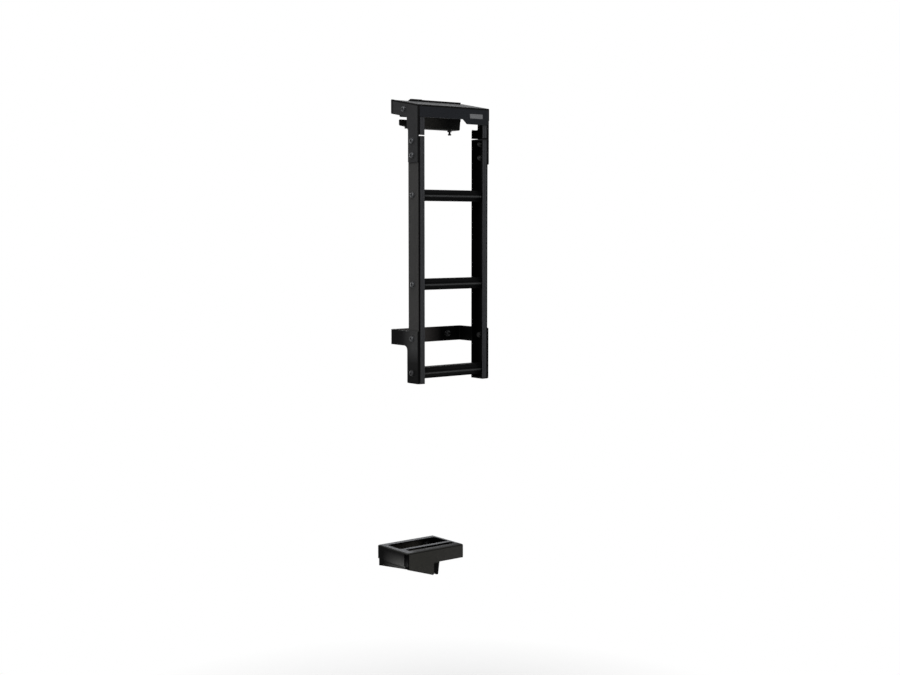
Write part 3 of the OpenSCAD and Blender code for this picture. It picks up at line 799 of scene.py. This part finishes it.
def side_bolts():
    """Bolts on both sides of the ladder, and lock nuts inside the stiles and arms."""
    steel = passivated("bolt_steel", dark=(0.036, 0.037, 0.039), light=(0.068, 0.070, 0.074))
    # Painted shade: a darker copy of the bolt steel for the lowest rung's bolts, low on the legs
    shaded_low_steel = passivated("low_bolt_painted_shade_steel", dark=(0.018, 0.018, 0.019), light=(0.034, 0.034, 0.036))
    nut_steel = passivated("nut_steel", dark=(0.010, 0.010, 0.010), light=(0.020, 0.020, 0.020))
    bolts, nuts = side_bolt_places()
    for side, sign in (("left", -1), ("right", 1)):
        for name, x, y, z in bolts:
            metal = shaded_low_steel if name == "rung_bolt_1" else steel
            add_button_bolt(f"{side}_{name}", (sign * x, y, z), (sign, 0, 0), metal)
        for name, x, y, z in nuts:
            add_lock_nut(f"{side}_{name}", (sign * x, y, z), (-sign, 0, 0), nut_steel)


# Hexagon bolts of the lower band and of the step

FIXING_WASHER_R = 8.5 * MM
FIXING_WASHER_H = 1.6 * MM
FIXING_HEAD_H = 5.3 * MM
FIXING_SHANK = 2.9 * MM
SHANK_CHAMFER = 0.3 * MM
SHANK_SINK = 0.2 * MM
PLATE_THICKNESS = 3 * MM
BODY_BOLT_X = 68 * MM
STEP_BOLT_X = 64 * MM


def add_fixing_bolt(name, place, material):
    """Hexagon bolt and washer that hold a plate on what lies in front of it."""
    mesh = bmesh.new()
    add_stack(mesh, washer_rings(FIXING_WASHER_R, FIXING_WASHER_H))
    add_stack(mesh, hexagon_rings(FIXING_WASHER_H, FIXING_HEAD_H, NUT_FLATS))
    add_stack(mesh, [ring(-FIXING_SHANK, SHANK_R - SHANK_CHAMFER),
                     ring(SHANK_CHAMFER - FIXING_SHANK, SHANK_R), ring(SHANK_SINK, SHANK_R)])
    finished_piece(name, mesh, material, place, (0, -1, 0))


def fixing_bolts():
    """Two bolts in the lower band and two in the step's back edge."""
    steel = passivated("fixing_bolt_steel", dark=(0.014, 0.014, 0.015), light=(0.026, 0.026, 0.027))
    band_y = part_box("lower_bracket")[1].y - PLATE_THICKNESS
    tray_middle = middle("step_tray").x
    tray_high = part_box("step_tray")[1]
    rim_y = tray_high.y - PLATE_THICKNESS
    rim_z = tray_high.z - STEP_RIM / 2
    for side, sign in (("left", -1), ("right", 1)):
        add_fixing_bolt(f"{side}_body_bolt", (sign * BODY_BOLT_X, band_y, 0.0), steel)
        add_fixing_bolt(f"{side}_step_bolt", (tray_middle + sign * STEP_BOLT_X, rim_y, rim_z), steel)


# Threaded clamp bolts

CLAMP_FLATS = 10 * MM
CLAMP_ROD_R = 3 * MM
CLAMP_PITCH = 1 * MM
CLAMP_NUT_H = 5 * MM
CLAMP_HEAD_R = 4.5 * MM
CLAMP_HEAD_H = 4 * MM
CLAMP_FLANGE_R = CLAMP_FLATS * 0.56
CLAMP_FLANGE_H = 0.8 * MM
CLAMP_SINK = 0.2 * MM
CLAMP_TIP = 0.3 * MM
CLAMP_HEAD_PROFILE = (
    # height, and how far the radius stays under CLAMP_HEAD_R
    (0.0, 0.8 * MM),
    (0.4 * MM, 0.15 * MM),
    (0.9 * MM, 0.0),
    (CLAMP_HEAD_H - 0.3 * MM, 0.0),
    (CLAMP_HEAD_H, 0.3 * MM),
)


def add_flanged_nut(mesh, start, sign):
    """Adds a nut with a flange to mesh, from height start upwards, or downwards where sign is -1."""
    end = start + sign * CLAMP_FLANGE_H
    add_stack(mesh, [ring(z, CLAMP_FLANGE_R) for z in sorted((start, end))])
    height = CLAMP_NUT_H - CLAMP_FLANGE_H
    nut = start + sign * (CLAMP_FLANGE_H - CLAMP_SINK)
    add_stack(mesh, hexagon_rings(nut if sign > 0 else nut - height, height, CLAMP_FLATS))


def clamp_bolts():
    """Threaded clamp bolts with cap heads and nuts, in place of the plain ones."""
    steel = passivated("clamp_bolt_steel", dark=(0.012, 0.012, 0.013), light=(0.022, 0.022, 0.023))
    for side in ("left", "right"):
        node = f"{side}_clamp_bolt"
        low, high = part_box(node)
        length = high.z - low.z
        mesh = bmesh.new()
        rod = thread_rings(CLAMP_HEAD_H - CLAMP_SINK, length - CLAMP_TIP, CLAMP_ROD_R, CLAMP_PITCH)
        add_stack(mesh, rod)
        add_stack(mesh, [ring(z, CLAMP_HEAD_R - under) for z, under in CLAMP_HEAD_PROFILE])
        add_flanged_nut(mesh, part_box("gutter_clamp")[0].z - low.z, -1)
        add_flanged_nut(mesh, length - CLAMP_NUT_H, 1)
        place = (middle(node).x, middle(node).y, low.z)
        piece = finished_piece(f"{side}_threaded_clamp_bolt", mesh, steel, place, (0, 0, 1))
        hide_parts(node)


# Light, floor and background

WHITE = (1.0, 1.0, 1.0, 1.0)
BACKGROUND = 1.0
WORLD_LIGHT = 0.25


def seen_directly(tree):
    """1 for rays from the camera and for those that metal or glass sends on."""
    path = tree.nodes.new("ShaderNodeLightPath")
    total = path.outputs["Is Camera Ray"]
    for name in ("Is Glossy Ray", "Is Transmission Ray"):
        node = tree.nodes.new("ShaderNodeMath")
        node.operation = "MAXIMUM"
        tree.links.new(total, node.inputs[0])
        tree.links.new(path.outputs[name], node.inputs[1])
        total = node.outputs["Value"]
    return total


def add_world():
    """A white background that lights the object only a little."""
    world = bpy.data.worlds.new("studio")
    bpy.context.scene.world = world
    world.use_nodes = True
    tree = world.node_tree
    background = tree.nodes["Background"]
    background.inputs["Color"].default_value = WHITE
    strength = tree.nodes.new("ShaderNodeMapRange")
    strength.inputs["To Min"].default_value = WORLD_LIGHT
    strength.inputs["To Max"].default_value = BACKGROUND
    tree.links.new(seen_directly(tree), strength.inputs["Value"])
    tree.links.new(strength.outputs["Result"], background.inputs["Strength"])


FLOOR_Z = -1.145
FLOOR_SIZE = 60.0
FLOOR_CELLS = 8
FLOOR_DARK = (0.84, 0.84, 0.84)
FLOOR_LIGHT = (0.86, 0.86, 0.86)
# Distances from the floor's middle at which it starts to glow and is all background
GLOW_FROM = 0.45
GLOW_TO = 1.15


def floor_material():
    """Pale floor that turns into the white background far from the ladder."""
    t = Tree("pale_floor")
    grain = t.noise(14.0, detail=4.0)
    t.base(t.mixed(t.ranged(grain, 0.0, 1.0), FLOOR_DARK, FLOOR_LIGHT))
    t.rough(t.ranged(grain, 0.6, 0.7))
    t.fixed(Specular_IOR_Level=0.2)
    distance = t.add("ShaderNodeVectorMath", operation="LENGTH")
    t.link(t.place, distance.inputs[0])
    far = t.ranged(distance.outputs["Value"], 0.0, 1.0, GLOW_FROM, GLOW_TO)
    glow = t.add("ShaderNodeEmission")
    glow.inputs["Color"].default_value = WHITE
    mix = t.add("ShaderNodeMixShader")
    t.link(t.both(far, seen_directly(t.tree)), mix.inputs["Fac"])
    t.link(t.shader.outputs["BSDF"], mix.inputs[1])
    t.link(glow.outputs["Emission"], mix.inputs[2])
    t.link(mix.outputs["Shader"], t.tree.nodes["Material Output"].inputs["Surface"])
    return t.material


def add_floor():
    """A level floor below the step."""
    mesh = bmesh.new()
    bmesh.ops.create_grid(mesh, x_segments=FLOOR_CELLS, y_segments=FLOOR_CELLS, size=FLOOR_SIZE / 2)
    data = bpy.data.meshes.new("floor")
    mesh.to_mesh(data)
    mesh.free()
    data.materials.append(floor_material())
    floor = bpy.data.objects.new("floor", data)
    floor.location = (0, 0, FLOOR_Z)
    bpy.context.scene.collection.objects.link(floor)


LAMPS = (
    # name, place, size, power
    ("key", (-2.2, -1.9, 2.3), 1.6, 60.0),
    ("fill", (2.6, -2.6, 0.9), 2.0, 16.0),
    ("top", (-0.2, -0.4, 3.0), 1.8, 44.0),
    ("back", (1.2, 3.3, 0.4), 2.0, 40.0),
    ("right", (3.4, 0.7, 0.8), 2.0, 26.0),
)
LAMP_AIM = Vector((0.0, -0.06, 0.1))


def add_lamps():
    """Soft square lamps, all aimed at the ladder."""
    for name, place, size, power in LAMPS:
        data = bpy.data.lights.new(name, "AREA")
        data.shape = "SQUARE"
        data.size = size
        data.energy = power
        lamp = bpy.data.objects.new(name, data)
        lamp.location = place
        lamp.rotation_euler = (LAMP_AIM - Vector(place)).to_track_quat("-Z", "Y").to_euler()
        bpy.context.scene.collection.objects.link(lamp)


add_camera()
finish_nodes()
side_bolts()
fixing_bolts()
clamp_bolts()
add_world()
add_floor()
add_lamps()
bpy.context.scene.view_settings.view_transform = "Standard"
